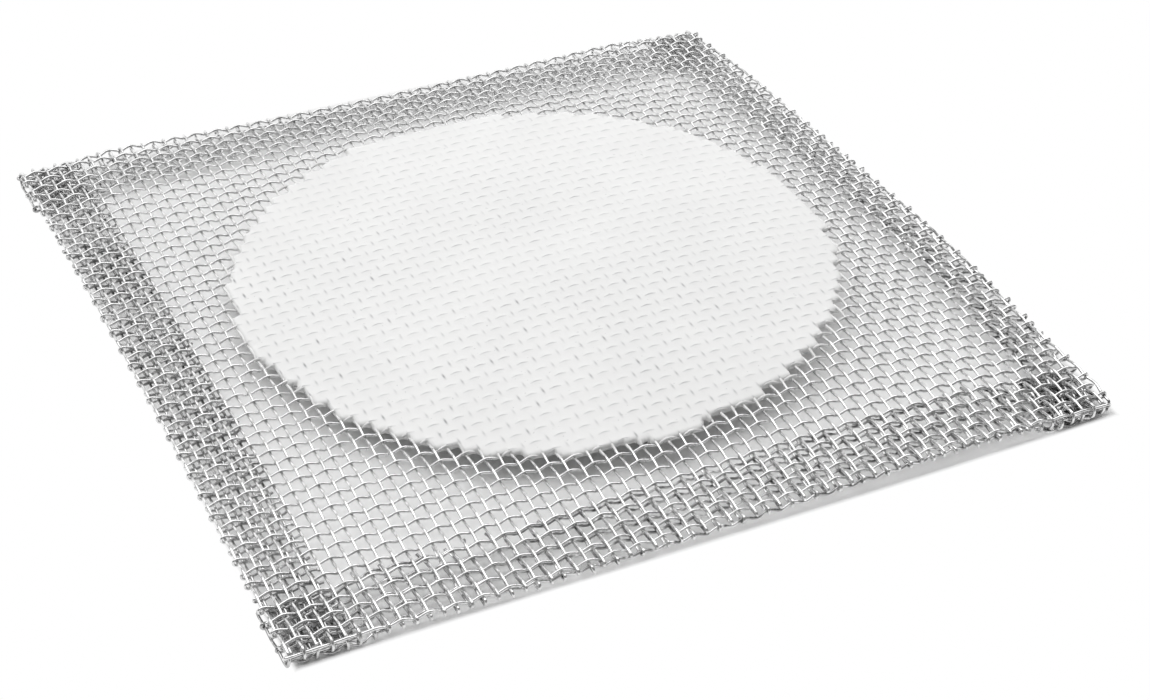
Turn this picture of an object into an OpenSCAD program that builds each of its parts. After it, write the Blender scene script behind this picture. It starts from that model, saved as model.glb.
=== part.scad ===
// Wire gauze for a laboratory burner: a square of woven wire cloth with its four
// edges folded under, and a thin ceramic centre pressed into the mesh.
//
// The cloth lies in the XY plane with the front edge at -Y, and Z = 0 is the table.
// The warp runs along Y and the weft along X, each wire on a level of its own, with
// the warp above the weft. The two side hems are folded under first and the front
// and back hems second, so each corner holds four layers of cloth and a straight
// stretch of edge holds two. Every wire is one round solid from cut end to cut end.

/* [Cloth] */
// Side of the square gauze, measured over its folded edges
side = 125; // [100:1:160]
// Diameter of every wire
wire_d = 0.35; // [0.25:0.01:0.45]
// Spacing of the warp wires, which run from front to back
warp_pitch = 1.87; // [1.5:0.01:2.4]
// Spacing of the weft wires, which run from side to side
weft_pitch = 2.33; // [1.9:0.01:3]
// Play between the warp level and the weft level
weave_gap = 0.02; // [0.015:0.005:0.05]

/* [Hems] */
// Number of warp wires in each side hem
hem_columns = 5; // [3:1:7]
// Number of weft wires in the front hem and in the back hem
hem_rows = 5; // [3:1:7]
// Play between one layer of folded cloth and the next
layer_gap = 0.05; // [0.03:0.01:0.2]
// Distance from the start of a side fold to the first warp wire of its hem
warp_lead = 0.9; // [0.1:0.1:1.5]
// Distance from the start of a front or back fold to the first weft wire of its hem
weft_lead = 0.4; // [0.1:0.1:1.5]
// Length of the cut wire ends beyond the last wire of a hem
cut_end = 0.9; // [0.4:0.1:1.5]

/* [Ceramic centre] */
// Clearance between the circle that the ceramic fills and the nearest raw hem edge
hem_clear = 1.8; // [0.5:0.1:10]
// Thickness of ceramic above the warp wires
top_cover = 0.1; // [0.05:0.01:0.5]
// Thickness of ceramic below the weft wires
bottom_cover = 0.2; // [0.05:0.01:0.8]
// Ceramic beyond the centre line of the wires at its rim
rim_margin = 0.35; // [0.3:0.01:0.6]
// Distance of the ceramic from the middle of the cloth, towards the right
ceramic_x = 3; // [-5:0.5:5]
// Distance of the ceramic from the middle of the cloth, towards the back
ceramic_y = 1.5; // [-5:0.5:5]
// Play between a wire and the ceramic round it
tunnel_play = 0.005; // [0.003:0.001:0.006]

/* [Hidden] */
$fn = 24;

wire_r = wire_d / 2;
half_side = side / 2;

// Heights. The warp and the weft lie half a crossing above and below the middle of
// their layer, and the layers of a hem lie one step apart.
crossing = wire_d + weave_gap;
level = crossing / 2;
layer_step = 2 * wire_d + weave_gap + layer_gap;
sheet_z = 3 * layer_step + level + wire_r;

// Folds. A tight fold turns a wire straight back under itself, and a wide fold takes
// a warp wire round the weft wires inside it.
tight_drop = wire_d + layer_gap;
tight_r = tight_drop / 2;
wide_drop = layer_step + crossing;
wide_r = wide_drop / 2;
corner_drop = 3 * layer_step + crossing;
side_setback = wire_r + tight_r;
front_setback = wire_r + wide_r;
inner_setback = side_setback + layer_step;

// Distance that the two halves of a wire run into each other
lap = 1;

// Wires of the sheet, counted so that the outermost ones lie on the flat of the cloth
warp_count = floor((side - 2 * side_setback) / warp_pitch) + 1;
weft_count = floor((side - 2 * front_setback) / weft_pitch) + 1;
warp_start = -(warp_count - 1) / 2 * warp_pitch;
weft_start = -(weft_count - 1) / 2 * weft_pitch;
function warp_x(i) = warp_start + i * warp_pitch;
function weft_y(j) = weft_start + j * weft_pitch;

// Hems, measured inwards from the outer edge
function hem_warp_inset(k) = side_setback + warp_lead + k * warp_pitch;
function hem_weft_inset(k) = front_setback + weft_lead + k * weft_pitch;
side_hem = hem_warp_inset(hem_columns - 1) + cut_end;
front_hem = hem_weft_inset(hem_rows - 1) + cut_end;

// Warp wires at each side whose front and back folds go round all four layers. The
// last of them is the first one past the raw edge of the side hem.
edge_count = ceil((side_hem - (warp_start + half_side)) / warp_pitch) + 1;
edge_last_x = warp_x(edge_count - 1);

// Step of a hem weft wire, from the height it has under a side hem to its own, in
// the space between two warp wires
step_rise = 2 * layer_step;
step_r = min(step_rise / 2, (warp_pitch - wire_d) / 2);
step_x = edge_last_x + (warp_pitch - 2 * step_r) / 2;

// Straight wire along +X from the local origin
module run(length) {
    rotate([0, 90, 0]) cylinder(d = wire_d, h = length);
}

// Quarter bend in the XZ plane, from heading -X at the origin to heading -Z
module quarter_bend(bend_r) {
    translate([0, 0, -bend_r])
        rotate([90, 0, 0])
            rotate_extrude(angle = 90, start = 90)
                translate([bend_r, 0])
                    circle(d = wire_d);
}

// Wire along +X that folds under at the local origin and comes back lower down
module folded_end(bend_r, drop, above, below) {
    run(above);
    quarter_bend(bend_r);
    if (drop > 2 * bend_r)
        translate([-bend_r, 0, bend_r - drop])
            cylinder(d = wire_d, h = drop - 2 * bend_r);
    translate([0, 0, -drop]) {
        mirror([0, 0, 1]) quarter_bend(bend_r);
        run(below);
    }
}

// Rise of a wire that heads +X from the local origin and goes on at a higher level
module rising_step(bend_r, rise, beyond) {
    mirror([1, 0, 0]) mirror([0, 0, 1]) quarter_bend(bend_r);
    if (rise > 2 * bend_r)
        translate([bend_r, 0, bend_r])
            cylinder(d = wire_d, h = rise - 2 * bend_r);
    translate([2 * bend_r, 0, rise]) {
        quarter_bend(bend_r);
        run(beyond);
    }
}

// Both halves of a wire along X, of which the child is the left one
module both_ends() {
    children();
    mirror([1, 0, 0]) children();
}

// Weft wire of the sheet
module weft_wire() {
    start = half_side - side_setback;
    both_ends()
        translate([-start, 0, -level])
            folded_end(tight_r, tight_drop, start + lap, side_hem - side_setback);
}

// Weft wire of the front or back hem: it lies under the side hems near its ends,
// and steps up against the sheet between them
module hem_weft_wire() {
    start = half_side - side_setback;
    both_ends() {
        translate([-start, 0, level - 3 * layer_step]) {
            mirror([0, 0, 1])
                folded_end(tight_r, tight_drop, step_x + start, side_hem - side_setback);
            translate([step_x + start, 0, 0])
                rising_step(step_r, step_rise, lap - step_x - 2 * step_r);
        }
    }
}

// Warp wire of the sheet, drawn along X, with the depth of its folds
module warp_wire(drop) {
    start = half_side - front_setback;
    both_ends()
        translate([-start, 0, level])
            folded_end(wide_r, drop, start + lap, front_hem - front_setback);
}

// Warp wire of a side hem, drawn along X
module hem_warp_wire() {
    start = half_side - inner_setback;
    both_ends()
        translate([-start, 0, -layer_step - level])
            folded_end(tight_r, tight_drop, start + lap, front_hem - inner_setback);
}

// Stands what is drawn along X at x, running from front to back
module along_y(x) {
    translate([x, 0, sheet_z]) rotate([0, 0, 90]) children();
}

module field_warp_wires() {
    color("gainsboro")
        for (i = [edge_count : warp_count - 1 - edge_count])
            along_y(warp_x(i)) warp_wire(wide_drop);
}

module left_edge_warp_wires() {
    color("lightgray")
        for (i = [0 : edge_count - 1])
            along_y(warp_x(i)) warp_wire(corner_drop);
}

module right_edge_warp_wires() {
    color("lightgray")
        for (i = [0 : edge_count - 1])
            along_y(-warp_x(i)) warp_wire(corner_drop);
}

module left_hem_warp_wires() {
    color("silver")
        for (k = [0 : hem_columns - 1])
            along_y(hem_warp_inset(k) - half_side) hem_warp_wire();
}

module right_hem_warp_wires() {
    color("silver")
        for (k = [0 : hem_columns - 1])
            along_y(half_side - hem_warp_inset(k)) hem_warp_wire();
}

module field_weft_wires() {
    color("gainsboro")
        for (j = [0 : weft_count - 1])
            translate([0, weft_y(j), sheet_z]) weft_wire();
}

module front_hem_weft_wires() {
    color("silver")
        for (k = [0 : hem_rows - 1])
            translate([0, hem_weft_inset(k) - half_side, sheet_z]) hem_weft_wire();
}

module back_hem_weft_wires() {
    color("silver")
        for (k = [0 : hem_rows - 1])
            translate([0, half_side - hem_weft_inset(k), sheet_z]) hem_weft_wire();
}

// Circle that the ceramic fills: the largest that stays clear of all four hems
ceramic_r = min(
    half_side - side_hem - hem_clear - abs(ceramic_x),
    half_side - front_hem - hem_clear - abs(ceramic_y)
);

// Columns of mesh cells that the ceramic fills, and for each column the back and the
// front of its rim. Whole cells are filled, with a margin past their outer wires, as
// far as they lie inside the circle, so the rim goes in steps from cell to cell.
first_column = ceil((ceramic_x - ceramic_r + rim_margin - warp_start) / warp_pitch);
last_column = floor((ceramic_x + ceramic_r - rim_margin - warp_start) / warp_pitch) - 1;
function half_chord(i) =
    let (dx = warp_x(i) + warp_pitch / 2 - ceramic_x)
    sqrt(ceramic_r * ceramic_r - dx * dx);
function column_back(i) =
    let (reach = ceramic_y + half_chord(i) - rim_margin)
    weft_y(floor((reach - weft_start) / weft_pitch)) + rim_margin;
function column_front(i) =
    let (reach = ceramic_y - half_chord(i) + rim_margin)
    weft_y(ceil((reach - weft_start) / weft_pitch)) - rim_margin;

// Ends of the rim at the left and at the right
left_rim_x = warp_x(first_column) - rim_margin;
right_rim_x = warp_x(last_column + 1) + rim_margin;

// Where column i meets the one on its left, the wall stands just past their shared
// warp wire, on the side of the shorter column
function wall_x(i, rises) = warp_x(i) + (rises ? -rim_margin : rim_margin);

back_steps = [
    for (i = [first_column + 1 : last_column])
        let (here = column_back(i), before = column_back(i - 1))
        if (here != before)
            let (x = wall_x(i, here > before))
            each [[x, before], [x, here]]
];
front_steps = [
    for (i = [last_column : -1 : first_column + 1])
        let (here = column_front(i), before = column_front(i - 1))
        if (here != before)
            let (x = wall_x(i, here < before))
            each [[x, here], [x, before]]
];
rim_outline = concat(
    [[left_rim_x, column_back(first_column)]],
    back_steps,
    [[right_rim_x, column_back(last_column)], [right_rim_x, column_front(last_column)]],
    front_steps,
    [[left_rim_x, column_front(first_column)]]
);

// Ceramic centre, with a tunnel for each wire that passes through it
module ceramic_centre() {
    below = level + wire_r + bottom_cover;
    above = level + wire_r + top_cover;
    tunnel_d = wire_d + 2 * tunnel_play;
    color("whitesmoke")
        difference() {
            translate([0, 0, sheet_z - below])
                linear_extrude(height = below + above)
                    polygon(rim_outline);
            for (i = [first_column : last_column + 1])
                translate([warp_x(i), half_side, sheet_z + level])
                    rotate([90, 0, 0])
                        cylinder(d = tunnel_d, h = side);
            for (j = [0 : weft_count - 1])
                if (abs(weft_y(j) - ceramic_y) < ceramic_r + weft_pitch)
                    translate([-half_side, weft_y(j), sheet_z - level])
                        rotate([0, 90, 0])
                            cylinder(d = tunnel_d, h = side);
        }
}

ceramic_centre();
field_warp_wires();
left_edge_warp_wires();
right_edge_warp_wires();
left_hem_warp_wires();
right_hem_warp_wires();
field_weft_wires();
front_hem_weft_wires();
back_hem_weft_wires();
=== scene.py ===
import math

import bpy
import numpy as np
from mathutils import Matrix, Vector


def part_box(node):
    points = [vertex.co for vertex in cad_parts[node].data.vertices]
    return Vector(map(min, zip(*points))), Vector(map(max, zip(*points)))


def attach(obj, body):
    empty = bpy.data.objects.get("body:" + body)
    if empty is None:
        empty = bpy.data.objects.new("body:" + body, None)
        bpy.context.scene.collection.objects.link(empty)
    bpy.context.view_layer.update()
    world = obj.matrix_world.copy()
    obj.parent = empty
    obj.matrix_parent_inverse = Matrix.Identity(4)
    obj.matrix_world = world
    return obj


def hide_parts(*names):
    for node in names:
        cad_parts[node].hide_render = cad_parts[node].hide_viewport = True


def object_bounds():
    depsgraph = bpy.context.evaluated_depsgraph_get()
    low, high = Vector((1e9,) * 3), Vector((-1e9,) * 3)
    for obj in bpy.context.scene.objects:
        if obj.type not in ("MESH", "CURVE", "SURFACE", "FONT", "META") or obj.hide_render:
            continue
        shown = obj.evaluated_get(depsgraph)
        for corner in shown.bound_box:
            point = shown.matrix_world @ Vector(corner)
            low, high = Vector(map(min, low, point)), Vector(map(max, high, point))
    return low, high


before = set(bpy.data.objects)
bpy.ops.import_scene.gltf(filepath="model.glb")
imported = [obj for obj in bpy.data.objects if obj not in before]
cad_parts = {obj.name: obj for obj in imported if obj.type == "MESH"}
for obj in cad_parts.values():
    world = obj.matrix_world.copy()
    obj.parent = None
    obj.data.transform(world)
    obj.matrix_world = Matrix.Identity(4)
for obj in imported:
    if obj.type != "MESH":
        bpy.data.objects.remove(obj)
CAD_LOW, CAD_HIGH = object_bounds()
CERAMIC_LOW, CERAMIC_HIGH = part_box("ceramic_centre")

bl_info = {
    "name": "Wire Gauze",
    "version": (1, 0, 0),
    "blender": (4, 5, 0),
    "location": "3D View > Sidebar > Gauze",
    "description": "Builds a square laboratory wire gauze with folded hems and a ceramic centre",
    "category": "Object",
}

MM = 0.001
HALF_SIDE = (CAD_HIGH.x - CAD_LOW.x) / 2
CERAMIC_MIDDLE = (CERAMIC_LOW + CERAMIC_HIGH) / 2
CERAMIC_RADIUS = (CERAMIC_HIGH.x - CERAMIC_LOW.x + CERAMIC_HIGH.y - CERAMIC_LOW.y) / 4

# Wires of the flat cloth, counted from its middle
FIELD_WARP = 27
EDGE_WARP = 33
LAST_WARP = 38
FIELD_WEFT = 27
LAST_WEFT = 32

# Each edge of the hand made square, in millimetres: how far outside it lies at its ends, what its
# middle adds to that, and how much of it leans to the right or the back
RIGHT_EDGE = (0.19, 2.19, -0.57)
LEFT_EDGE = (0.18, -0.41, -0.78)
BACK_EDGE = (0.37, 2.22, -0.13)
FRONT_EDGE = (0.31, 0.56, 0.58)
# The same for how far right the warp and how far back the weft lie off their even lattice
WARP_SHIFT = (-0.32, 0.04, 0.64)
WEFT_SHIFT = (-0.78, 0.81, -0.07)

# How the sheet rises towards the middle of each edge, in millimetres, how it sags again at the back,
# and how much of each rise leans to the right or the back
BACK_RISE, BACK_SAG = 1.39, 2.65
FRONT_RISE, FRONT_LEAN = 0.23, 2.32
RIGHT_RISE, RIGHT_LEAN = 0.39, -0.15
LEFT_RISE, LEFT_LEAN = 0.68, -1.71
DOME_LEAN_X, DOME_LEAN_Y = 1.38, -0.50
RAISED_SHARE = 0.84      # of the half side; the ends of the edges stay down

# Folds, and the slow waves of the weave
CUT_END = 0.9 * MM       # cloth past the last wire of a hem
DOUBLING_RUN = 7 * MM    # over which an end fold widens to go round a doubled corner
TUCK_RUN = 2 * MM        # past a fold, over which the hem below it is drawn in
WAVES = 5
SHORTEST_WAVE = 45 * MM  # along either axis
WAVE_SHARE = 0.8

# Rings of a wire
RINGS_PER_PITCH = 4
RINGS_PER_FOLD = 9
LEAST_RING_GAP = 0.06 * MM

# Random draws: where those of each kind of wire start, and how unevenly the wires lie, in millimetres
# or, for the scatter, in wanders
FIRST_WARP_DRAW = 500
FIRST_WEFT_DRAW = 900
WARP_SCATTER, WEFT_SCATTER = 0.4, 0.6
WARP_CUT, WEFT_CUT = (0.5, 1.5), (0.5, 1.1)
WAVER_RATES = (60, 160)  # in a metre
CURL_REACH = 2.2
CURL_ASIDE = 0.34
CURL_DOWN, CURL_UP = -0.12, 0.22
JOSTLE_ASIDE = 0.13
JOSTLE_UP = 0.06


# ---------------------------------------------------------------- settings

class GauzeCloth(bpy.types.PropertyGroup):
    wire: bpy.props.FloatProperty(
        name="Wire", description="Thickness of the wire",
        default=0.41 * MM, min=0.1 * MM, max=1 * MM, precision=5, unit="LENGTH")
    warp_pitch: bpy.props.FloatProperty(
        name="Warp Pitch", description="Distance between the wires that run front to back",
        default=1.862 * MM, min=1 * MM, max=4 * MM, precision=5, unit="LENGTH")
    weft_pitch: bpy.props.FloatProperty(
        name="Weft Pitch", description="Distance between the wires that run left to right",
        default=2.32 * MM, min=1 * MM, max=4 * MM, precision=5, unit="LENGTH")
    warp_crimp: bpy.props.FloatProperty(
        name="Warp Crimp", description="How far a front to back wire waves to each side",
        default=0.15 * MM, min=0, max=0.5 * MM, precision=5, unit="LENGTH")
    weft_crimp: bpy.props.FloatProperty(
        name="Weft Crimp", description="How far a left to right wire waves to each side",
        default=0.26 * MM, min=0, max=0.5 * MM, precision=5, unit="LENGTH")
    layer_step: bpy.props.FloatProperty(
        name="Layer Step", description="Distance between two layers of cloth in a hem",
        default=0.77 * MM, min=0.5 * MM, max=2 * MM, precision=5, unit="LENGTH")
    crown: bpy.props.FloatProperty(
        name="Crown", description="How far the middle of the cloth bows up",
        default=1.12 * MM, min=0, max=3 * MM, precision=5, unit="LENGTH")
    wander: bpy.props.FloatProperty(
        name="Wander", description="How far a wire strays from its straight line",
        default=0.05 * MM, min=0, max=0.3 * MM, precision=5, unit="LENGTH")
    sides: bpy.props.IntProperty(
        name="Sides", description="Faces round a wire", default=8, min=5, max=16)
    steel: bpy.props.FloatVectorProperty(
        name="Steel", description="Colour of the bare wire", subtype="COLOR", size=3,
        default=(0.83, 0.83, 0.83), min=0, max=1)
    tuck_left: bpy.props.FloatProperty(
        name="Tuck Left", description="How much further in the left hem was pushed",
        default=0.45 * MM, min=-5 * MM, max=5 * MM, precision=5, unit="LENGTH")
    tuck_right: bpy.props.FloatProperty(
        name="Tuck Right", description="How much further in the right hem was pushed",
        default=0.7 * MM, min=-5 * MM, max=5 * MM, precision=5, unit="LENGTH")
    tuck_front: bpy.props.FloatProperty(
        name="Tuck Front", description="How much further in the front hem was pushed",
        default=0.85 * MM, min=-5 * MM, max=5 * MM, precision=5, unit="LENGTH")
    tuck_back: bpy.props.FloatProperty(
        name="Tuck Back", description="How much further in the back hem was pushed",
        default=0.5 * MM, min=-5 * MM, max=5 * MM, precision=5, unit="LENGTH")
    seed: bpy.props.IntProperty(
        name="Seed", description="Start of the random draws", default=7, min=0)


class GauzeCeramic(bpy.types.PropertyGroup):
    radius: bpy.props.FloatProperty(
        name="Radius", description="Radius of the ceramic centre",
        default=CERAMIC_RADIUS, min=10 * MM, max=60 * MM, precision=5, unit="LENGTH")
    fill: bpy.props.FloatProperty(
        name="Fill", description="Height of the ceramic between the wires, above the middle of the cloth",
        default=0.42 * MM, min=0.1 * MM, max=0.6 * MM, precision=5, unit="LENGTH")
    shift_x: bpy.props.FloatProperty(
        name="Shift X", description="How far right of its true place the ceramic was pressed in",
        default=-0.8 * MM, min=-5 * MM, max=5 * MM, precision=5, unit="LENGTH")
    shift_y: bpy.props.FloatProperty(
        name="Shift Y", description="How far behind its true place the ceramic was pressed in",
        default=0.85 * MM, min=-5 * MM, max=5 * MM, precision=5, unit="LENGTH")
    oval: bpy.props.FloatProperty(
        name="Oval", description="How far the rim strays from a circle, out along one diagonal",
        default=0.6 * MM, min=-3 * MM, max=3 * MM, precision=5, unit="LENGTH")
    cover: bpy.props.FloatProperty(
        name="Cover", description="Thickness of the ceramic over a wire's crest",
        default=0.03 * MM, min=0, max=0.3 * MM, precision=5, unit="LENGTH")
    white: bpy.props.FloatVectorProperty(
        name="White", description="Colour of the ceramic", subtype="COLOR", size=3,
        default=(0.88, 0.88, 0.875), min=0, max=1)
    # Grey of the crest dashes, partly the bare wire and partly painted shade, and of the specks
    crest_wear_and_shade: bpy.props.FloatVectorProperty(
        name="Worn", description="Colour where a wire's crest shows through", subtype="COLOR", size=3,
        default=(0.38, 0.38, 0.39), min=0, max=1)


class GauzeStage(bpy.types.PropertyGroup):
    floor: bpy.props.FloatVectorProperty(
        name="Floor", description="Colour of the table", subtype="COLOR", size=3,
        default=(0.98, 0.98, 0.98), min=0, max=1)
    sky: bpy.props.FloatProperty(
        name="Sky", description="Level of the light from all round", default=0.19, min=0, max=2)
    top: bpy.props.FloatProperty(
        name="Top Lamp", description="Brightness of the large soft lamp overhead",
        default=2.03, min=0, max=20)
    fill: bpy.props.FloatProperty(
        name="Fill Lamp", description="Brightness of the soft lamp above and left of the front",
        default=0.25, min=0, max=20)
    back: bpy.props.FloatProperty(
        name="Back Lamp", description="Brightness of the wide soft lamp behind the gauze",
        default=1.0, min=0, max=20)


# ---------------------------------------------------------------- the folded cloth

def smooth(x):
    """0 below 0, 1 above 1, and an even rise between them."""
    x = np.clip(x, 0.0, 1.0)
    return x * x * (3 - 2 * x)


def fold(along, out, start, bend, tuck):
    """Folds a layer back under itself: where a point lies across the fold, and how high."""
    past = np.abs(along) - start
    turn = np.clip(past / bend, 0.0, np.pi)
    across = start + np.minimum(past, 0) + (bend + out) * np.sin(turn)
    across = across - np.maximum(past - np.pi * bend, 0)
    across = across - tuck * smooth(past / (np.pi * bend + TUCK_RUN))
    return np.sign(along) * across, (bend + out) * np.cos(turn) - bend


def stray(t, ends, middle, lean):
    """How far a hand made line lies off a straight one, in millimetres; t runs from -1 to 1 along it."""
    return ends + (middle + lean * t) * (1 - t * t)


def outline(side, depth):
    """How far the right, left, back and front edges lie outside the square, in millimetres."""
    return (stray(depth, *RIGHT_EDGE), stray(depth, *LEFT_EDGE),
            stray(side, *BACK_EDGE), stray(side, *FRONT_EDGE))


class Cloth:
    """The woven cloth: how a point of the flat sheet comes to lie once the hems are folded."""

    def __init__(self, sizes):
        self.sizes = sizes
        self.radius = sizes.wire / 2
        self.reach = sizes.weft_crimp + self.radius
        self.side_bend = sizes.layer_step / 2
        self.even_side = HALF_SIDE - self.side_bend - self.radius - sizes.weft_crimp / 2
        self.level = CAD_LOW.z + 3 * sizes.layer_step + self.reach
        self.raw_side = 2 * self.even_side + np.pi * self.side_bend
        self.raw_side -= LAST_WARP * sizes.warp_pitch + CUT_END
        draw = np.random.default_rng(sizes.seed)
        self.waves = [
            (draw.uniform(-1, 1, 2) * 2 * np.pi / SHORTEST_WAVE, draw.uniform(0, 2 * np.pi, 2))
            for _ in range(WAVES)
        ]

    def end_bend(self, x):
        """Radius of the front and back folds: wide round the doubled corners, tight between them."""
        doubled = smooth((np.abs(x) - self.raw_side + DOUBLING_RUN) / DOUBLING_RUN)
        return self.sizes.layer_step * (0.5 + doubled)

    def side_start(self, u, v):
        """Where the left and right folds begin."""
        right, left, _, _ = outline(0, np.clip(v / HALF_SIDE, -1, 1))
        return self.even_side + MM * np.where(u > 0, right, left)

    def end_start(self, x, v):
        """Where the front and back folds begin."""
        _, _, back, front = outline(np.clip(x / HALF_SIDE, -1, 1), 0)
        even = HALF_SIDE - self.end_bend(x) - self.radius - self.sizes.warp_crimp
        return even + MM * np.where(v > 0, back, front)

    def fold_side(self, u, v, out):
        """Folds the left and right hems: where points lie across, and how high."""
        tuck = np.where(u > 0, self.sizes.tuck_right, self.sizes.tuck_left)
        return fold(u, out, self.side_start(u, v), self.side_bend, tuck)

    def fold_end(self, x, v, out):
        """Folds the front and back hems, side hems and all."""
        tuck = np.where(v > 0, self.sizes.tuck_back, self.sizes.tuck_front)
        return fold(v, out, self.end_start(x, v), self.end_bend(x), tuck)

    def bow(self, x, y):
        """Height that the sheet gains where it isn't quite flat; nothing at its four corners."""
        side, depth = x / HALF_SIDE, y / HALF_SIDE
        across = 1 - np.clip(side / RAISED_SHARE, -1, 1) ** 2
        along = 1 - np.clip(depth / RAISED_SHARE, -1, 1) ** 2
        back, right = (1 + depth) / 2, (1 + side) / 2
        edges = across * (BACK_RISE * back - BACK_SAG * back ** 4)
        edges = edges + across * (FRONT_RISE + FRONT_LEAN * side) * (1 - back)
        at_right = (RIGHT_RISE + RIGHT_LEAN * depth) * right
        at_left = (LEFT_RISE + LEFT_LEAN * depth) * (1 - right)
        edges = edges + along * (at_right + at_left)
        dome = (1 - side ** 2) * (1 - depth ** 2)
        lean = (DOME_LEAN_X * side + DOME_LEAN_Y * depth) * dome
        return MM * (edges + lean) + self.sizes.crown * dome

    def drift(self, u, v):
        """How the weave lies off its even lattice: skewed, and slowly uneven away from the edges."""
        side, depth = np.clip(u / HALF_SIDE, -1, 1), np.clip(v / HALF_SIDE, -1, 1)
        du, dv = 0.0, 0.0
        for (ku, kv), (a, b) in self.waves:
            du = du + np.sin(ku * u + kv * v + a)
            dv = dv + np.sin(kv * u - ku * v + b)
        hold = WAVE_SHARE * self.sizes.wander * (1 - side ** 4) * (1 - depth ** 4)
        return (MM * stray(depth, *WARP_SHIFT) + hold * du,
                MM * stray(side, *WEFT_SHIFT) + hold * dv)

    def distance(self, u, v, middle, oval):
        """How far points of the open cloth lie from the middle of an oval, less its stretch."""
        du, dv = self.drift(u, v)
        x, y = u + du - middle.x, v + dv - middle.y
        far = np.hypot(x, y)
        # The square millimetre keeps the very middle from a division by nothing
        return far - oval * 2 * x * y / (far * far + MM * MM)

    def place(self, u, v, out):
        """Points of the finished gauze for points u, v of the flat sheet, and a height above it."""
        u, v, out = np.broadcast_arrays(u, v, out)
        du, dv = self.drift(u, v)
        x, high = self.fold_side(u + du, v, out)
        y, high = self.fold_end(x, v + dv, high)
        return np.stack([x, y, self.level + high + self.bow(x, y)], axis=-1)

    def fold_lines(self, at, axis):
        """Where on the flat sheet the two folds that a wire crosses begin."""
        found = []
        for end in (-HALF_SIDE, HALF_SIDE):
            if axis:
                start, shift = self.end_start(at, end), self.drift(at, end)[1]
            else:
                start, shift = self.side_start(end, at), self.drift(end, at)[0]
            found.append(math.copysign(float(start), end) - float(shift))
        return found

    def under(self, u, v):
        """How many layers of cloth lie over points of the flat sheet."""
        x, side = self.fold_side(u + 0 * v, v, 0.0)
        _, end = self.fold_end(x, v + 0 * u, side)
        return np.clip(-end / self.sizes.layer_step, 0, 3)

    def warp_wave(self, column, v):
        """Height of a warp wire over the middle of the cloth, as it passes over and under the weft."""
        return -self.sizes.warp_crimp * (-1) ** column * np.sin(np.pi * v / self.sizes.weft_pitch)

    def weft_wave(self, row, u):
        """Height of a weft wire over the middle of the cloth."""
        return self.sizes.weft_crimp * (-1) ** row * np.cos(np.pi * u / self.sizes.warp_pitch)


def stations(last, pitch, low, high, bend):
    """Where a wire gets its rings: some to each pitch, and more round each fold."""
    whole = RINGS_PER_PITCH * (last // pitch)
    even = np.arange(1 - RINGS_PER_PITCH - whole, whole + RINGS_PER_PITCH) * pitch / RINGS_PER_PITCH
    even = even[np.abs(even) < last - 0.2 * pitch]
    turn = np.linspace(0, np.pi * bend, RINGS_PER_FOLD)
    every = np.sort(np.concatenate([even, high + turn, low - turn, [last, -last]]))
    keep = np.concatenate([[True], np.diff(every) > LEAST_RING_GAP])
    keep[-1] = True
    return every[keep]


def wire_draws(cloth, wire):
    """The random draws of one wire, which stay its own whichever wires are made."""
    return np.random.default_rng(1000 * cloth.sizes.seed + wire)


def waver(cloth, along, draw):
    """How far a wire strays to and fro along its length."""
    return cloth.sizes.wander * np.sin(along * draw.uniform(*WAVER_RATES) + draw.uniform(0, 7))


def curl(points, along, last, sideways, draw):
    """Bends the cut ends of a wire a little, each its own way."""
    for end in (-1, 1):
        near = np.clip(1 - (last - end * along) / (CURL_REACH * MM), 0, 1) ** 2
        points[:, sideways] += near * draw.normal(0, CURL_ASIDE) * MM
        points[:, 2] += near * draw.uniform(CURL_DOWN, CURL_UP) * MM
    return points


def jostle(points, under, draw):
    """Shifts the folded under parts of a wire, which lie less evenly than the rest."""
    loose = smooth(under)[:, None]
    points[:, :2] += loose * draw.normal(0, JOSTLE_ASIDE, 2) * MM
    points[:, 2] += loose[:, 0] * draw.uniform(-JOSTLE_UP, JOSTLE_UP) * MM
    return points


def warp_lines(cloth, columns):
    """Centre lines of the wires that run front to back, with how deep each point lies in the hems."""
    sizes = cloth.sizes
    lines = []
    for column in columns:
        draw = wire_draws(cloth, column + FIRST_WARP_DRAW)
        u = column * sizes.warp_pitch + draw.normal(0, WARP_SCATTER) * sizes.wander
        last = (LAST_WEFT - 0.5) * sizes.weft_pitch + draw.uniform(*WARP_CUT) * MM
        x = float(cloth.fold_side(u, 0.0, 0.0)[0])
        v = stations(last, sizes.weft_pitch, *cloth.fold_lines(x, 1), cloth.end_bend(x))
        points = cloth.place(u + waver(cloth, v, draw), v, cloth.warp_wave(column, v))
        points = curl(points, v, last, 0, draw)
        under = cloth.under(u, v)
        lines.append(np.column_stack([jostle(points, under, draw), under]))
    return lines


def weft_lines(cloth, rows):
    """Centre lines of the wires that run left to right, with how deep each point lies in the hems."""
    sizes = cloth.sizes
    lines = []
    for row in rows:
        draw = wire_draws(cloth, row + FIRST_WEFT_DRAW)
        v = (row + 0.5) * sizes.weft_pitch + draw.normal(0, WEFT_SCATTER) * sizes.wander
        last = LAST_WARP * sizes.warp_pitch + draw.uniform(*WEFT_CUT) * MM
        u = stations(last, sizes.warp_pitch, *cloth.fold_lines(v, 0), cloth.side_bend)
        points = cloth.place(u, v + waver(cloth, u, draw), cloth.weft_wave(row, u))
        points = curl(points, u, last, 1, draw)
        under = cloth.under(u, v)
        lines.append(np.column_stack([jostle(points, under, draw), under]))
    return lines


# ---------------------------------------------------------------- meshes

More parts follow.
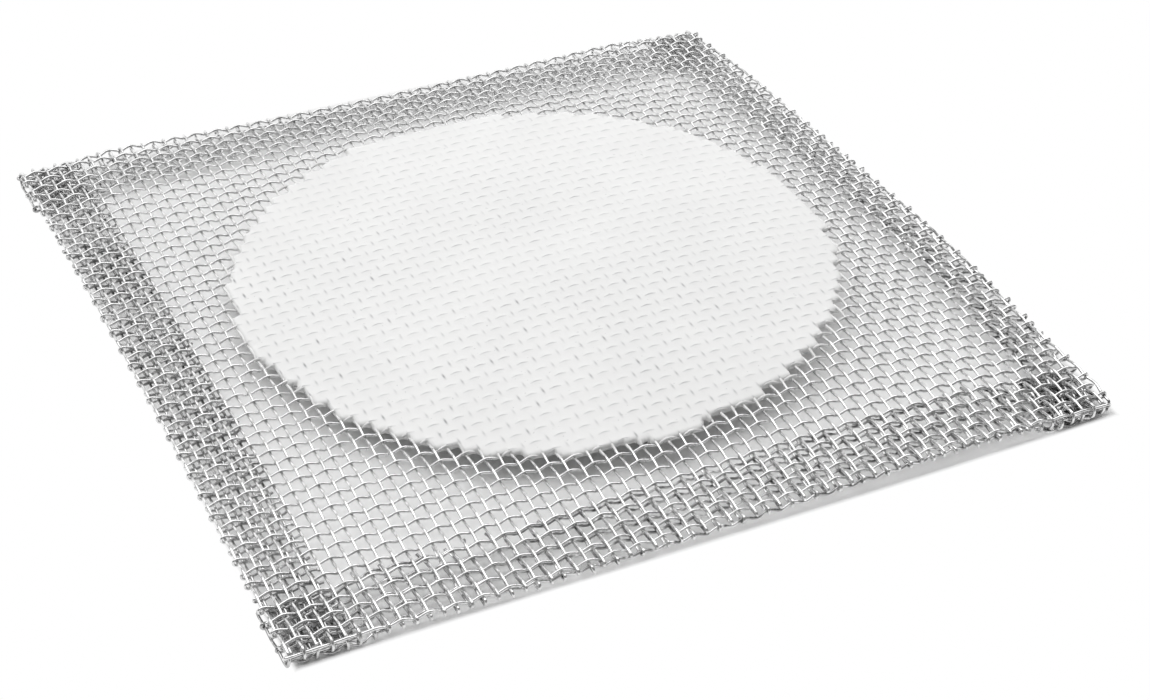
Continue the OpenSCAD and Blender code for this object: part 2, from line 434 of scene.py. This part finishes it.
def line_mesh(name, lines):
    """A mesh of open chains of edges, with how deep each point lies in the hems."""
    mesh = bpy.data.meshes.new(name)
    points = np.concatenate(lines)
    starts = np.cumsum([0] + [len(line) for line in lines[:-1]])
    edges = [
        np.stack([np.arange(len(line) - 1), np.arange(1, len(line))], axis=1) + start
        for start, line in zip(starts, lines)
    ]
    edges = np.concatenate(edges)
    mesh.vertices.add(len(points))
    mesh.vertices.foreach_set("co", points[:, :3].ravel())
    deep = mesh.attributes.new("under", "FLOAT", "POINT")
    deep.data.foreach_set("value", points[:, 3].astype(np.float32))
    mesh.edges.add(len(edges))
    mesh.edges.foreach_set("vertices", edges.ravel())
    mesh.update()
    return mesh


def face_mesh(name, points, quads):
    """A smooth mesh of quads."""
    mesh = bpy.data.meshes.new(name)
    mesh.vertices.add(len(points))
    mesh.vertices.foreach_set("co", points.ravel())
    mesh.loops.add(quads.size)
    mesh.loops.foreach_set("vertex_index", quads.ravel())
    mesh.polygons.add(len(quads))
    mesh.polygons.foreach_set("loop_start", np.arange(len(quads)) * 4)
    mesh.update(calc_edges=True)
    mesh.shade_smooth()
    mesh.validate()
    return mesh


def add_object(name, data):
    """An object in the scene that shows a mesh, a lamp or a camera."""
    made = bpy.data.objects.new(name, data)
    bpy.context.scene.collection.objects.link(made)
    return made


def wire_tree():
    """Geometry nodes that give round wire to open chains of edges."""
    tree = bpy.data.node_groups.get("Wire Sweep")
    if tree:
        return tree
    tree = bpy.data.node_groups.new("Wire Sweep", "GeometryNodeTree")
    face = tree.interface
    face.new_socket("Geometry", in_out="INPUT", socket_type="NodeSocketGeometry")
    face.new_socket("Radius", in_out="INPUT", socket_type="NodeSocketFloat")
    face.new_socket("Sides", in_out="INPUT", socket_type="NodeSocketInt")
    face.new_socket("Material", in_out="INPUT", socket_type="NodeSocketMaterial")
    face.new_socket("Geometry", in_out="OUTPUT", socket_type="NodeSocketGeometry")
    new, link = tree.nodes.new, tree.links.new
    given, result = new("NodeGroupInput"), new("NodeGroupOutput")
    chain, ring = new("GeometryNodeMeshToCurve"), new("GeometryNodeCurvePrimitiveCircle")
    sweep, even = new("GeometryNodeCurveToMesh"), new("GeometryNodeSetShadeSmooth")
    real, finish = new("GeometryNodeRealizeInstances"), new("GeometryNodeSetMaterial")
    link(given.outputs["Geometry"], chain.inputs["Mesh"])
    link(given.outputs["Sides"], ring.inputs["Resolution"])
    link(given.outputs["Radius"], ring.inputs["Radius"])
    link(chain.outputs["Curve"], sweep.inputs["Curve"])
    link(ring.outputs["Curve"], sweep.inputs["Profile Curve"])
    sweep.inputs["Fill Caps"].default_value = True
    link(sweep.outputs["Mesh"], even.inputs["Geometry"])
    link(even.outputs["Geometry"], real.inputs["Geometry"])
    link(real.outputs["Geometry"], finish.inputs["Geometry"])
    link(given.outputs["Material"], finish.inputs["Material"])
    link(finish.outputs["Geometry"], result.inputs["Geometry"])
    return tree


def run_tree(piece, tree, values):
    """Runs a geometry tree on a piece and leaves its result as a plain mesh."""
    modifier = piece.modifiers.new(tree.name, "NODES")
    modifier.node_group = tree
    sockets = {s.name: s.identifier for s in tree.interface.items_tree if s.in_out == "INPUT"}
    for name, value in values.items():
        modifier[sockets[name]] = value
    bpy.context.view_layer.update()
    view = bpy.context.evaluated_depsgraph_get()
    result = bpy.data.meshes.new_from_object(piece.evaluated_get(view))
    piece.modifiers.remove(modifier)
    chains = piece.data
    piece.data = result
    result.name = piece.name
    bpy.data.meshes.remove(chains)
    if not len(result.polygons):
        raise RuntimeError(f"{piece.name} came out empty")


def make_wires(name, lines, replaced):
    """One piece of steel wires, which takes the place of a CAD node or of half of one."""
    cloth = bpy.context.scene.gauze_cloth
    piece = add_object(name, line_mesh(name, lines))
    values = {"Radius": cloth.wire / 2, "Sides": cloth.sides, "Material": steel_material()}
    run_tree(piece, wire_tree(), values)
    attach(piece, "root")
    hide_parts(replaced)


# ---------------------------------------------------------------- material nodes

class Value:
    """A number or colour inside a material, with arithmetic that adds Math nodes."""

    def __init__(self, maker, socket):
        self.maker, self.socket = maker, socket

    def math(self, operation, *others):
        """Any other sum that a Math node does."""
        inputs = dict(enumerate((self, *others)))
        node = self.maker.node("ShaderNodeMath", {"operation": operation}, inputs)
        return Value(self.maker, node.outputs[0])

    def __add__(self, other):
        return self.math("ADD", other)

    def __radd__(self, other):
        return self.math("ADD", other)

    def __sub__(self, other):
        return self.math("SUBTRACT", other)

    def __rsub__(self, other):
        return (self * -1) + other

    def __mul__(self, other):
        return self.math("MULTIPLY", other)

    def __rmul__(self, other):
        return self.math("MULTIPLY", other)

    def clamp(self):
        """The same, held between 0 and 1."""
        return self.math("MAXIMUM", 0).math("MINIMUM", 1)


class Maker:
    """Adds nodes to one material."""

    def __init__(self, name):
        self.material = bpy.data.materials.new(name)
        self.material.use_nodes = True
        self.tree = self.material.node_tree
        self.shader = self.tree.nodes["Principled BSDF"]
        self.out = self.tree.nodes["Material Output"]

    def node(self, kind, settings=None, inputs=None):
        """A new node, with its settings and with what feeds its inputs."""
        node = self.tree.nodes.new(kind)
        for name, value in (settings or {}).items():
            setattr(node, name, value)
        for name, value in (inputs or {}).items():
            self.feed(node.inputs[name], value)
        return node

    def feed(self, socket, value):
        """Links a value to a socket, or sets the socket to a plain number or colour."""
        if isinstance(value, Value):
            self.tree.links.new(value.socket, socket)
        else:
            socket.default_value = value

    def value(self, kind, output, settings=None, inputs=None):
        """One output of a new node."""
        return Value(self, self.node(kind, settings, inputs).outputs[output])

    def noise(self, place, scale, detail):
        """Soft random cloud, from 0 to 1; scale is how many there are in a metre."""
        return self.value("ShaderNodeTexNoise", "Fac", None,
                          {"Vector": place, "Scale": scale, "Detail": detail})

    def ramp(self, value, low, high):
        """0 where the value is low, 1 where it is high, and a soft rise between."""
        return self.value("ShaderNodeMapRange", "Result", {"interpolation_type": "SMOOTHSTEP"},
                          {"Value": value, "From Min": low, "From Max": high})

    def mix(self, factor, first, second):
        """The first colour where the factor is 0 and the second where it is 1."""
        return self.value("ShaderNodeMix", 2, {"data_type": "RGBA"},
                          {0: factor, 6: first, 7: second})

    def surface(self, **sockets):
        """Feeds the sockets of the surface by name and gives back the finished material."""
        for name, value in sockets.items():
            self.feed(self.shader.inputs[name.replace("_", " ")], value)
        return self.material


def shade(colour, level):
    """A colour made darker or lighter, for a colour socket."""
    return (*(level * part for part in colour), 1)


def steel_material():
    """Bright drawn steel wire, dulled in places and darkened by painted shade in the hems, with ceramic on
    it at the centre.
    """
    made = bpy.data.materials.get("steel_wire_finish")
    if made:
        return made
    scene = bpy.context.scene
    ceramic = scene.gauze_ceramic
    steel = tuple(scene.gauze_cloth.steel)
    m = Maker("steel_wire_finish")
    place = m.value("ShaderNodeTexCoord", "Object")
    dull = m.ramp(m.noise(place, 900, detail=3), 0.42, 0.68)
    broad = m.noise(place, 90, detail=2)
    colour = m.mix(dull * 0.7, shade(steel, 1), shade(steel, 0.66))

    # Painted shade: the layers under the hems are dark in patches, with fewer of them behind and at the
    # front left
    under = m.value("ShaderNodeAttribute", "Fac", {"attribute_name": "under"})
    x, y = (m.value("ShaderNodeSeparateXYZ", axis, None, {0: place}) for axis in (0, 1))
    # Painted shade: less of it towards the right
    shade_eases_right = m.ramp(x, -55 * MM, -10 * MM)
    unshaded = m.ramp(m.noise(place, 620, detail=1) + shade_eases_right * 0.06, 0.49, 0.63)
    shaded_steel = m.mix(unshaded, shade(steel, 0.18), shade(steel, 1))
    behind = m.ramp(y + x * 0.4, 5 * MM, 60 * MM)
    front_left = m.ramp(x + y, -65 * MM, -110 * MM)
    painted_shade = m.ramp(under, 0.3, 1.3) * (0.92 - behind * 0.8 - front_left * 0.4)
    colour = m.mix(painted_shade, colour, shaded_steel)

    # The ceramic's slip has run a little way out along the wires
    offset = m.value("ShaderNodeVectorMath", "Vector", {"operation": "SUBTRACT"},
                     {0: place, 1: (CERAMIC_MIDDLE.x + ceramic.shift_x,
                                    CERAMIC_MIDDLE.y + ceramic.shift_y, 0)})
    flat = m.value("ShaderNodeVectorMath", "Vector", {"operation": "MULTIPLY"},
                   {0: offset, 1: (1, 1, 0)})
    far = m.value("ShaderNodeVectorMath", "Value", {"operation": "LENGTH"}, {0: flat})
    ragged = far + (m.noise(place, 420, detail=2) - 0.5) * (3 * MM)
    coated = 1 - m.ramp(ragged, ceramic.radius + 0.2 * MM, ceramic.radius + 1.6 * MM)
    colour = m.mix(coated * 0.85, colour, shade(ceramic.white, 1))
    return m.surface(Base_Color=colour, Metallic=1 - coated * 0.9,
                     Roughness=(0.14 + dull * 0.16 + broad * 0.06 + coated * 0.5).clamp())


def ceramic_material():
    """Matt white ceramic, with grey dashes where the crests of the wires wear through, darkened further by
    painted shade along them.
    """
    sizes = bpy.context.scene.gauze_ceramic
    cloth = bpy.context.scene.gauze_cloth
    m = Maker("ceramic_finish")
    place = m.value("ShaderNodeTexCoord", "Object")

    # Distances from the nearest crossing of two wires, in millimetres
    weave = m.value("ShaderNodeUVMap", "UV", {"uv_map": "weave"})
    parts = m.node("ShaderNodeSeparateXYZ", None, {0: weave})
    column, row = Value(m, parts.outputs[0]), Value(m, parts.outputs[1])
    whole_column, whole_row = column.math("ROUND"), row.math("ROUND")
    across = (column - whole_column) * (cloth.warp_pitch / MM)
    along = (row - whole_row) * (cloth.weft_pitch / MM)
    odd = (whole_column + whole_row).math("PINGPONG", 1)

    def dash(width, length):
        bent = along + across * across * 0.1
        near = (across * (1 / width)).math("POWER", 2) + (bent * (1 / length)).math("POWER", 2)
        return (near * -1).math("EXPONENT")

    # A few crests in any place are worn much more than the rest
    spot = m.value("ShaderNodeCombineXYZ", 0, None, {0: whole_column, 1: whole_row})
    chance = m.value("ShaderNodeTexWhiteNoise", "Value", {"noise_dimensions": "3D"}, {"Vector": spot})
    broad = m.ramp(m.noise(place, 45, detail=2), 0.35, 0.68)
    seen = broad * 0.35 + chance * 0.25 + chance.math("POWER", 6) * 0.6
    # Painted shade: the dashes darken the crests beyond their bare wire; the warp dashes fade towards the
    # back
    behind = m.ramp(column * 0.7 + row * 0.9, -14, 16)
    warp = dash(width=0.16, length=0.60) * (1 - odd) * (1 - behind * 0.7)
    weft = dash(width=0.85, length=0.13) * odd
    crest_wear_and_shade = (warp * (0.26 + seen * 0.95) + weft * (0.42 + seen * 0.45)).clamp()

    mottled = m.ramp(m.noise(place, 60, detail=3), 0.3, 0.75)
    colour = m.mix(mottled, shade(sizes.white, 1), shade(sizes.white, 0.965))
    speck = m.ramp(m.noise(place, 1500, detail=1), 0.735, 0.80)
    colour = m.mix(speck * 0.35, colour, shade(sizes.crest_wear_and_shade, 1))
    colour = m.mix(crest_wear_and_shade, colour, shade(sizes.crest_wear_and_shade, 1))
    grain = m.noise(place, 2600, detail=3)
    bump = m.value("ShaderNodeBump", "Normal", None,
                   {"Strength": 0.35, "Distance": 0.03 * MM, "Height": grain})
    return m.surface(Base_Color=colour, Roughness=(0.82 - crest_wear_and_shade * 0.25), Normal=bump)


# How far outside the gauze's edges the table turns white, and how far inside at the left and front,
# in millimetres
PAST_RIGHT = 1.2
PAST_BACK, PAST_BACK_MIDDLE = 1.6, 0.5
INSIDE_LEFT = 1.6
INSIDE_FRONT, INSIDE_CORNERS = 1.0, 0.4
WHITE_FROM, WHITE_TO = HALF_SIDE / MM - 0.6, HALF_SIDE / MM + 0.4
# Painted shade: where the table under the gauze grows darker towards the right and the back
DIM_FROM, DIM_TO = HALF_SIDE / MM - 12, HALF_SIDE / MM - 2


def floor_material():
    """A plain white table, which reads as white round the gauze, to the eye and in the steel, with painted
    shade under the gauze's right and back hems.
    """
    m = Maker("table_finish")
    floor = bpy.context.scene.gauze_stage.floor
    path = m.node("ShaderNodeLightPath").outputs
    seen = Value(m, path["Is Camera Ray"]).math("MAXIMUM", Value(m, path["Is Glossy Ray"]))
    seen = seen.math("MAXIMUM", Value(m, path["Is Transmission Ray"]))
    plain = m.node("ShaderNodeBsdfDiffuse", None, {"Color": shade(floor, 0.86)})
    place = m.node("ShaderNodeSeparateXYZ", None, {0: m.value("ShaderNodeTexCoord", "Object")})
    x, y = (Value(m, place.outputs[axis]) * (1 / MM) for axis in (0, 1))
    side, depth = ((p * (MM / HALF_SIDE)).math("MAXIMUM", -1).math("MINIMUM", 1) for p in (x, y))
    right, left, back, front = outline(side, depth)
    past_back = y - back - PAST_BACK - (1 - side * side) * PAST_BACK_MIDDLE
    far = (x - right - PAST_RIGHT).math("MAXIMUM", past_back)
    past_front = y * -1 - front + INSIDE_FRONT - side.math("POWER", 4) * INSIDE_CORNERS
    near = (x * -1 - left + INSIDE_LEFT).math("MAXIMUM", past_front)
    beyond = m.ramp(far.math("MAXIMUM", near), WHITE_FROM, WHITE_TO)
    # Painted shade: the table is darker under the right and back edges of the gauze
    colour = m.mix(m.ramp(far, DIM_FROM, DIM_TO), shade(floor, 1.07), shade(floor, 0.86))
    under = m.node("ShaderNodeBsdfDiffuse", None, {"Color": colour})
    white = m.node("ShaderNodeEmission", None, {"Color": (1, 1, 1, 1)})
    bright = m.node("ShaderNodeMixShader", None, {
        0: beyond, 1: Value(m, under.outputs[0]), 2: Value(m, white.outputs[0])})
    both = m.node("ShaderNodeMixShader", None, {
        0: seen, 1: Value(m, plain.outputs[0]), 2: Value(m, bright.outputs[0])})
    m.tree.links.new(both.outputs[0], m.out.inputs["Surface"])
    m.tree.nodes.remove(m.shader)
    return m.material


# ---------------------------------------------------------------- the ceramic centre

# Places of the sample lines round each wire, as shares of a pitch
SAMPLES = np.array([-0.35, -0.12, 0.0, 0.12, 0.35])
SPARE_WIRES = 3              # sampled past the rim at every side

# How the ceramic ends at its rim
RIM_SCATTER = 0.22 * MM      # how unevenly the meshes are filled
MESH_RUN = 0.9 * MM          # over which the meshes go from full to empty
MESH_BLUR = 0.30 * MM
EVEN_RUN = 1.6 * MM         # the same as MESH_RUN, for an even rim that is mixed in
WEB_WIDTH = 0.3 * MM         # of the ceramic that clings along a wire
MESH_SHARE, EVEN_SHARE, WEB_SHARE = 0.7, 0.3, 0.30
WEB_LEVEL = 0.4
RAGGEDNESS = 0.02
RIM_SHIFT = 0.14 * MM        # how far a sample moves to lie on the rim
LEAST_SLOPE = 0.2 / MM
RIM_ROUND = 0.25 * MM        # over which the faces round down to the rim
RIM_HEIGHT = 0.1
LEAST_SWELL = 0.7

# The relief of the weave
LOW_FILL = 1.6               # height of the lower face, as a share of the upper one's
HILL_WIDTH = 0.62 * MM       # from the top of a covered wire to the foot of its hill
HILL_POWER = 1.3
SAG = 0.03 * MM
SHARP = 30 / MM              # how sharply the hills meet the fill


def quarters(grid):
    """The grid less its last or first line each way: the four corners of every cell."""
    return grid[:-1, :-1], grid[1:, :-1], grid[:-1, 1:], grid[1:, 1:]


def corners(cells):
    """For every corner of the cells, which of the four cells round it are set."""
    found = np.zeros((4, cells.shape[0] + 1, cells.shape[1] + 1), bool)
    for number, (i, j) in enumerate(((0, 0), (0, 1), (1, 0), (1, 1))):
        found[number, i:i + cells.shape[0], j:j + cells.shape[1]] = cells
    return found


def soft_box(x, cells, pitch, blur):
    """How much each sample lies in each cell, as a blurred box for every pair."""
    low = (x[:, None] - cells[None, :] * pitch) / blur
    high = (x[:, None] - (cells[None, :] + 1) * pitch) / blur
    return (np.tanh(low) - np.tanh(high)) / 2


def sample_lines(first, last, pitch, shift):
    """Sample lines across the weave, drawn in towards each wire."""
    wires = np.arange(first, last + 1)
    return ((wires[:, None] + SAMPLES[None, :]).ravel() + shift) * pitch


def ceramic_shape(cloth, sizes):
    """Sample lines of the ceramic, and how far each crossing of them lies inside its rim."""
    p, q = cloth.sizes.warp_pitch, cloth.sizes.weft_pitch
    middle = CERAMIC_MIDDLE + Vector((sizes.shift_x, sizes.shift_y, 0))
    radius = sizes.radius
    first_u = int((middle.x - radius) / p) - SPARE_WIRES
    first_v = int((middle.y - radius) / q) - SPARE_WIRES
    last_u = int((middle.x + radius) / p) + SPARE_WIRES
    last_v = int((middle.y + radius) / q) + SPARE_WIRES
    u = sample_lines(first_u, last_u, p, 0)
    v = sample_lines(first_v, last_v, q, 0.5)
    draw = np.random.default_rng(cloth.sizes.seed + 40)

    # Each mesh of the weave is filled as a whole, or not
    cells_u = np.arange(first_u - 1, last_u + 1)
    cells_v = np.arange(first_v - 1, last_v + 1) + 0.5
    far = cloth.distance((cells_u[:, None] + 0.5) * p, (cells_v[None, :] + 0.5) * q, middle, sizes.oval)
    far = far + draw.normal(0, RIM_SCATTER, far.shape)
    filled = np.clip((radius - far) / MESH_RUN + 0.5, 0, 1)
    meshes = soft_box(u, cells_u, p, MESH_BLUR) @ filled @ soft_box(v, cells_v, q, MESH_BLUR).T

    # The wires carry a web of it a little further
    across = np.abs(u / p - np.round(u / p)) * p
    along = np.abs(v / q - 0.5 - np.round(v / q - 0.5)) * q
    web = np.maximum(np.exp(-(across[:, None] / WEB_WIDTH) ** 2),
                     np.exp(-(along[None, :] / WEB_WIDTH) ** 2))
    even = cloth.distance(u[:, None], v[None, :], middle, sizes.oval)
    even = np.clip((radius - even) / EVEN_RUN + 0.5, 0, 1)
    inside = MESH_SHARE * meshes + EVEN_SHARE * even + WEB_SHARE * (web - WEB_LEVEL)
    inside = inside + draw.normal(0, RAGGEDNESS, inside.shape)
    return u, v, inside - 0.50


def filled_cells(inside):
    """Which cells between the sample lines hold ceramic."""
    keep = sum(quarters(inside)) / 4 > 0
    # Cells that aren't part of a block of four would come out with no thickness
    keep &= corners(np.logical_and.reduce(quarters(keep))).any(axis=0)
    # Cells that meet at a corner only get a neighbour
    for _ in range(4):
        a, b, c, d = quarters(keep)
        pinched = (a & d & ~b & ~c) | (b & c & ~a & ~d)
        if not pinched.any():
            break
        for part in (a, b, c, d):
            part |= pinched
    return keep


def ceramic_height(cloth, sizes, u, v, side):
    """Height of the ceramic's face over the middle of the cloth; side is 1 on top, -1 beneath."""
    p, q = cloth.sizes.warp_pitch, cloth.sizes.weft_pitch
    column, row = np.round(u / p), np.round(v / q - 0.5)
    across = (u - column * p)
    along = (v - (row + 0.5) * q)
    even = 1 - 2 * (np.abs(column) % 2)
    warp = -side * cloth.sizes.warp_crimp * even * np.sin(np.pi * v / q)
    odd = 1 - 2 * (np.abs(row) % 2)
    weft = side * cloth.sizes.weft_crimp * odd * np.cos(np.pi * u / p)
    level = sizes.fill * (1 if side > 0 else LOW_FILL)
    hill = cloth.radius + sizes.cover
    over_warp = warp + hill * (1 - (np.abs(across) / HILL_WIDTH) ** HILL_POWER)
    over_weft = weft + hill * (1 - (np.abs(along) / HILL_WIDTH) ** HILL_POWER)
    base = level - SAG * (1 - 0.5 * np.cos(2 * np.pi * u / p) + 0.5 * np.cos(2 * np.pi * v / q))
    total = np.exp(SHARP * base) + np.exp(SHARP * over_warp) + np.exp(SHARP * over_weft)
    return np.log(total) / SHARP


def build_ceramic():
    """The ceramic centre: a closed mesh, with the relief of the weave on its upper and lower face."""
    sizes = bpy.context.scene.gauze_ceramic
    cloth = Cloth(bpy.context.scene.gauze_cloth)
    u, v, inside = ceramic_shape(cloth, sizes)
    keep = filled_cells(inside)
    used, whole = corners(keep).any(axis=0), corners(keep).all(axis=0)
    rim, inner = used & ~whole, used & whole

    # Samples at the rim move on to it, and the faces round down to them
    grow_u, grow_v = np.gradient(inside, u, v)
    steep = np.maximum(np.hypot(grow_u, grow_v), LEAST_SLOPE)
    shift = np.clip(-inside / steep, -RIM_SHIFT, RIM_SHIFT) * rim
    su = u[:, None] + shift * grow_u / steep
    sv = v[None, :] + shift * grow_v / steep
    depth = np.clip(inside / steep, 0, None)
    swell = np.sqrt(1 - (1 - np.clip(depth / RIM_ROUND, 0, 1)) ** 2)
    swell = np.where(rim, RIM_HEIGHT, np.maximum(swell, LEAST_SWELL))
    top = ceramic_height(cloth, sizes, su, sv, 1) * swell
    low = -ceramic_height(cloth, sizes, su, sv, -1) * swell
    points = np.concatenate([cloth.place(su, sv, top)[used], cloth.place(su, sv, low)[inner]])

    # The two faces share their points at the rim
    upper = np.cumsum(used.ravel()).reshape(used.shape) - 1
    lower = int(used.sum()) + np.cumsum(inner.ravel()).reshape(used.shape) - 1
    lower = np.where(rim, upper, lower)
    i, j = np.nonzero(keep)
    ring = [(i, j), (i + 1, j), (i + 1, j + 1), (i, j + 1)]
    above = np.stack([upper[spot] for spot in ring], axis=1)
    below = np.stack([lower[spot] for spot in reversed(ring)], axis=1)
    mesh = face_mesh("ceramic_centre_visual", points, np.concatenate([above, below]))

    # The weave's columns and rows, one row on above, so that each face shows the wires that crest there
    weave = np.stack(np.broadcast_arrays(
        su / cloth.sizes.warp_pitch, sv / cloth.sizes.weft_pitch - 0.5), axis=-1)
    spots = np.concatenate([np.stack([weave[spot] + (0, 1) for spot in ring], axis=1),
                            np.stack([weave[spot] for spot in reversed(ring)], axis=1)])
    layer = mesh.uv_layers.new(name="weave")
    layer.data.foreach_set("uv", spots.reshape(-1).astype(np.float32))
    mesh.materials.append(ceramic_material())
    piece = add_object("ceramic_pad", mesh)
    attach(piece, "root")
    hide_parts("ceramic_centre")


# ---------------------------------------------------------------- the stage

TABLE_HALF = 6.0

# The camera: what it looks at, from which side and how far, and how it is tilted, in degrees
CAMERA_TARGET = Vector((-2.00, -19.58, 3.0)) * MM
CAMERA_AZIMUTH, CAMERA_ELEVATION, CAMERA_ROLL = -27.30, 35.60, 1.73
CAMERA_DISTANCE = 322.1 * MM
CAMERA_LENS, CAMERA_SENSOR = 69.28, 36.0


def add_table():
    """The flat table that the gauze lies on."""
    size = TABLE_HALF
    spots = np.array([(-size, -size, 0), (size, -size, 0), (size, size, 0), (-size, size, 0)])
    spots[:, 2] = CAD_LOW.z
    table = add_object("table", face_mesh("table", spots, np.array([[0, 1, 2, 3]])))
    table.data.materials.append(floor_material())


def light_room(scene, level):
    """Even white light from all round."""
    world = scene.world or bpy.data.worlds.new("room")
    scene.world = world
    world.use_nodes = True
    sky = world.node_tree.nodes["Background"]
    sky.inputs["Strength"].default_value = level
    sky.inputs["Color"].default_value = (1, 1, 1, 1)


def add_lamp(name, place, width, height, level):
    """A soft lamp that faces the gauze; level is how bright its face is."""
    lamp = bpy.data.lights.new(name, "AREA")
    lamp.shape, lamp.size, lamp.size_y = "RECTANGLE", width, height
    lamp.energy = level * math.pi * width * height
    made = add_object(name, lamp)
    made.location = place
    made.rotation_mode = "QUATERNION"
    made.rotation_quaternion = made.location.to_track_quat("Z", "Y")


def add_camera():
    """The camera, above the front left of the gauze."""
    shot = bpy.data.cameras.new("camera")
    shot.sensor_width = CAMERA_SENSOR
    shot.lens = CAMERA_LENS
    shot.clip_start = 0.01
    camera = add_object("camera", shot)
    azimuth, elevation, roll = (
        math.radians(angle) for angle in (CAMERA_AZIMUTH, CAMERA_ELEVATION, CAMERA_ROLL))
    back = Vector((math.sin(azimuth) * math.cos(elevation),
                   -math.cos(azimuth) * math.cos(elevation), math.sin(elevation)))
    turn = back.to_track_quat("Z", "Y").to_matrix() @ Matrix.Rotation(roll, 3, "Z")
    camera.rotation_mode = "QUATERNION"
    camera.rotation_quaternion = turn.to_quaternion()
    camera.location = CAMERA_TARGET + back * CAMERA_DISTANCE
    return camera


# ---------------------------------------------------------------- operators

class GAUZE_OT_field_warp(bpy.types.Operator):
    """Makes the front to back wires of the open field, in two halves"""
    bl_idname = "gauze.field_warp"
    bl_label = "Field Warp Wires"

    def execute(self, context):
        cloth = Cloth(context.scene.gauze_cloth)
        make_wires("warp_field_left", warp_lines(cloth, range(-FIELD_WARP, 0)),
                   "field_warp_wires")
        make_wires("warp_field_right", warp_lines(cloth, range(0, FIELD_WARP + 1)),
                   "field_warp_wires")
        return {"FINISHED"}


class GAUZE_OT_edge_warp(bpy.types.Operator):
    """Makes the front to back wires over and inside the two side hems"""
    bl_idname = "gauze.edge_warp"
    bl_label = "Side Hem Warp Wires"

    def execute(self, context):
        cloth = Cloth(context.scene.gauze_cloth)
        edge = range(FIELD_WARP + 1, EDGE_WARP + 1)
        hem = range(EDGE_WARP + 1, LAST_WARP + 1)
        for side, sign in (("left", -1), ("right", 1)):
            make_wires(f"warp_{side}_edge", warp_lines(cloth, [sign * n for n in edge]),
                       f"{side}_edge_warp_wires")
            make_wires(f"warp_{side}_hem", warp_lines(cloth, [sign * n for n in hem]),
                       f"{side}_hem_warp_wires")
        return {"FINISHED"}


class GAUZE_OT_field_weft(bpy.types.Operator):
    """Makes the left to right wires of the open field, in two halves"""
    bl_idname = "gauze.field_weft"
    bl_label = "Field Weft Wires"

    def execute(self, context):
        cloth = Cloth(context.scene.gauze_cloth)
        make_wires("weft_field_front", weft_lines(cloth, range(-FIELD_WEFT, 0)),
                   "field_weft_wires")
        make_wires("weft_field_back", weft_lines(cloth, range(0, FIELD_WEFT)),
                   "field_weft_wires")
        return {"FINISHED"}


class GAUZE_OT_hem_weft(bpy.types.Operator):
    """Makes the left to right wires inside the front and back hems"""
    bl_idname = "gauze.hem_weft"
    bl_label = "End Hem Weft Wires"

    def execute(self, context):
        cloth = Cloth(context.scene.gauze_cloth)
        make_wires("weft_front_hem", weft_lines(cloth, range(-LAST_WEFT, -FIELD_WEFT)),
                   "front_hem_weft_wires")
        make_wires("weft_back_hem", weft_lines(cloth, range(FIELD_WEFT, LAST_WEFT)),
                   "back_hem_weft_wires")
        return {"FINISHED"}


class GAUZE_OT_ceramic(bpy.types.Operator):
    """Makes the white ceramic centre, with its ragged rim and the relief of the weave"""
    bl_idname = "gauze.ceramic"
    bl_label = "Ceramic Centre"

    def execute(self, context):
        build_ceramic()
        return {"FINISHED"}


class GAUZE_OT_stage(bpy.types.Operator):
    """Makes the table, the light and the camera"""
    bl_idname = "gauze.stage"
    bl_label = "Stage"

    def execute(self, context):
        scene = context.scene
        stage = scene.gauze_stage
        add_table()
        light_room(scene, stage.sky)
        add_lamp("top_lamp", (0.1, 0.74, 2.09), 6.0, 1.95, stage.top)
        add_lamp("fill_lamp", (-0.8, -0.85, 2.1), 3.2, 1.4, stage.fill)
        add_lamp("back_lamp", (0.4, 2.35, 0.78), 6.0, 1.5, stage.back)
        scene.camera = add_camera()
        scene.view_settings.view_transform = "Standard"
        return {"FINISHED"}


class GAUZE_PT_panel(bpy.types.Panel):
    """Lists the parts of the gauze"""
    bl_idname = "GAUZE_PT_panel"
    bl_label = "Wire Gauze"
    bl_space_type = "VIEW_3D"
    bl_region_type = "UI"
    bl_category = "Gauze"

    def draw(self, context):
        scene = context.scene
        for group in (scene.gauze_cloth, scene.gauze_ceramic, scene.gauze_stage):
            box = self.layout.box()
            for name in group.__annotations__:
                box.prop(group, name)
        for operator in OPERATORS:
            self.layout.operator(operator.bl_idname)


OPERATORS = (
    GAUZE_OT_field_warp,
    GAUZE_OT_edge_warp,
    GAUZE_OT_field_weft,
    GAUZE_OT_hem_weft,
    GAUZE_OT_ceramic,
    GAUZE_OT_stage,
)
GROUPS = {"gauze_cloth": GauzeCloth, "gauze_ceramic": GauzeCeramic, "gauze_stage": GauzeStage}


def register():
    for group in (*GROUPS.values(), *OPERATORS, GAUZE_PT_panel):
        bpy.utils.register_class(group)
    for name, group in GROUPS.items():
        setattr(bpy.types.Scene, name, bpy.props.PointerProperty(type=group))


def unregister():
    for name in GROUPS:
        delattr(bpy.types.Scene, name)
    for group in reversed((*GROUPS.values(), *OPERATORS, GAUZE_PT_panel)):
        bpy.utils.unregister_class(group)


def main():
    """Builds the gauze and its stage."""
    register()
    bpy.ops.gauze.field_warp()
    bpy.ops.gauze.edge_warp()
    bpy.ops.gauze.field_weft()
    bpy.ops.gauze.hem_weft()
    bpy.ops.gauze.ceramic()
    bpy.ops.gauze.stage()


if __name__ == "__main__":
    main()
